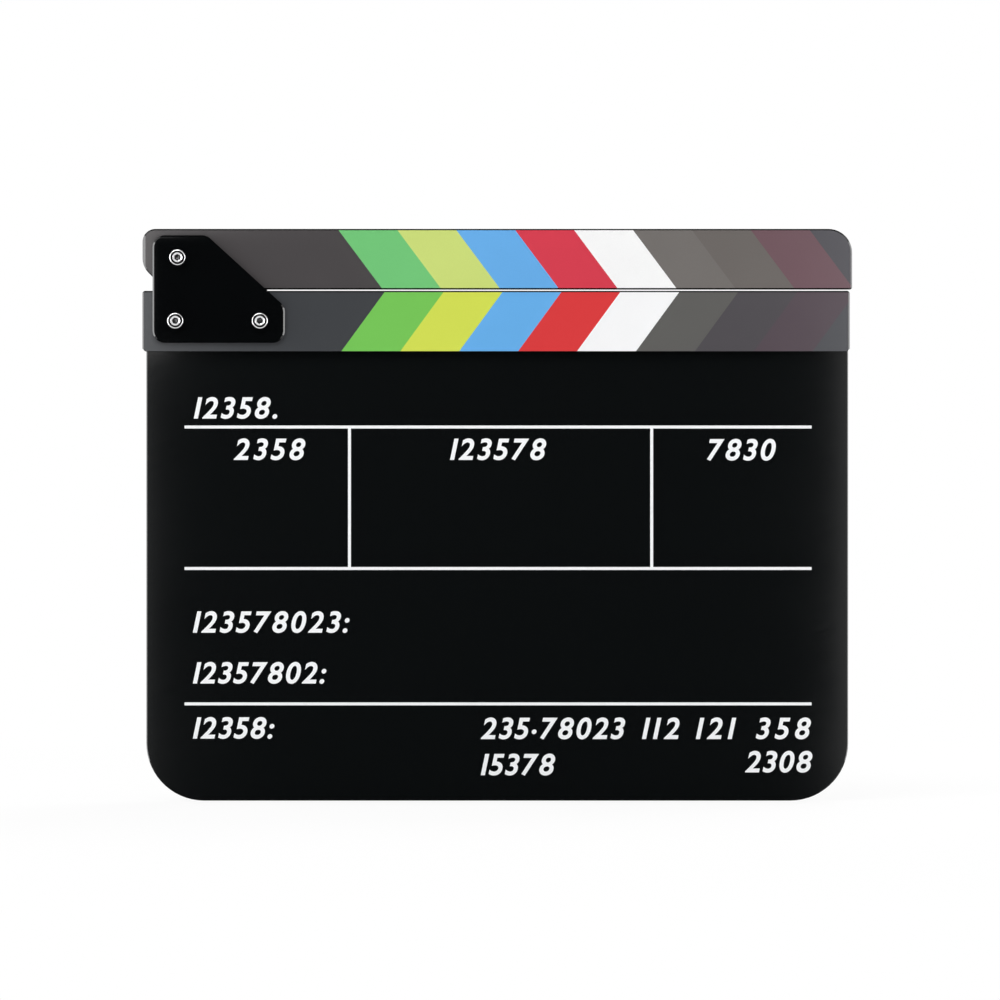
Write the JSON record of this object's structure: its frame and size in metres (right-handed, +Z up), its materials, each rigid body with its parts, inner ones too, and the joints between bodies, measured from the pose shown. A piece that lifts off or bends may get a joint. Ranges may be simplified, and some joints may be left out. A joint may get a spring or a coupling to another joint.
{
  "type": "clapperboard",
  "caption": "Film clapperboard: black gloss board with white rules, a fixed lower stick and a hinged upper stick that claps shut, both with slanted colour bands.",
  "frame": {"origin": "middle of the board's bottom edge, halfway through its thickness", "axes": "+X to the right of the board's face, +Y from the front face to the back, +Z up"},
  "size_m": [0.3, 0.0227, 0.2418],
  "materials": {
    "board_gloss": "black cast acrylic, polished",
    "plate_gloss": "black acrylic, polished, bevelled rim",
    "stick_gloss": "black cast acrylic, polished",
    "bonding_tape": "black foam tape",
    "screw_steel": "bright plated steel",
    "nut_steel": "bright plated steel",
    "sleeve_brass": "turned brass",
    "glide_nylon": "natural nylon",
    "ink_white": "white screen print",
    "film_charcoal": "satin printed film",
    "film_green": "satin printed film",
    "film_yellow": "satin printed film",
    "film_blue": "satin printed film",
    "film_red": "satin printed film",
    "film_white": "satin printed film",
    "film_pale_grey": "satin printed film",
    "film_mid_grey": "satin printed film",
    "film_plum_grey": "satin printed film",
    "film_slate_grey": "satin printed film"
  },
  "bodies": {
    "slate": {"writing_board": "board_gloss", "lower_tape_front": "bonding_tape", "lower_tape_rear": "bonding_tape", "lower_stick_front": "stick_gloss", "lower_stick_rear": "stick_gloss", "hinge_plate_front": "plate_gloss", "hinge_plate_rear": "plate_gloss", "pivot_sleeve": "sleeve_brass", "pivot_screw": "screw_steel", "pivot_lock_nut": "nut_steel", "printed_rules": "ink_white", "glide_washers": "glide_nylon", "plate_screws": "screw_steel", "plate_nuts": "nut_steel", "nut_washers": "nut_steel", "lower_band_charcoal": "film_charcoal", "lower_band_green": "film_green", "lower_band_yellow": "film_yellow", "lower_band_blue": "film_blue", "lower_band_red": "film_red", "lower_band_white": "film_white", "lower_band_pale_grey": "film_pale_grey", "lower_band_mid_grey": "film_mid_grey", "lower_band_plum_grey": "film_plum_grey", "lower_band_slate_grey": "film_slate_grey"},
    "clapper": {"upper_stick_core": "stick_gloss", "upper_stick_front": "stick_gloss", "upper_stick_rear": "stick_gloss", "upper_band_charcoal": "film_charcoal", "upper_band_green": "film_green", "upper_band_yellow": "film_yellow", "upper_band_blue": "film_blue", "upper_band_red": "film_red", "upper_band_white": "film_white", "upper_band_pale_grey": "film_pale_grey", "upper_band_mid_grey": "film_mid_grey", "upper_band_plum_grey": "film_plum_grey", "upper_band_slate_grey": "film_slate_grey"}
  },
  "joints": [
    {"name": "clap_hinge", "type": "hinge", "parent": "slate", "child": "clapper", "pos_m": [-0.135, 0, 0.22961], "axis": [0, -1, 0], "range_deg": [-0.1, 54]}
  ]
}
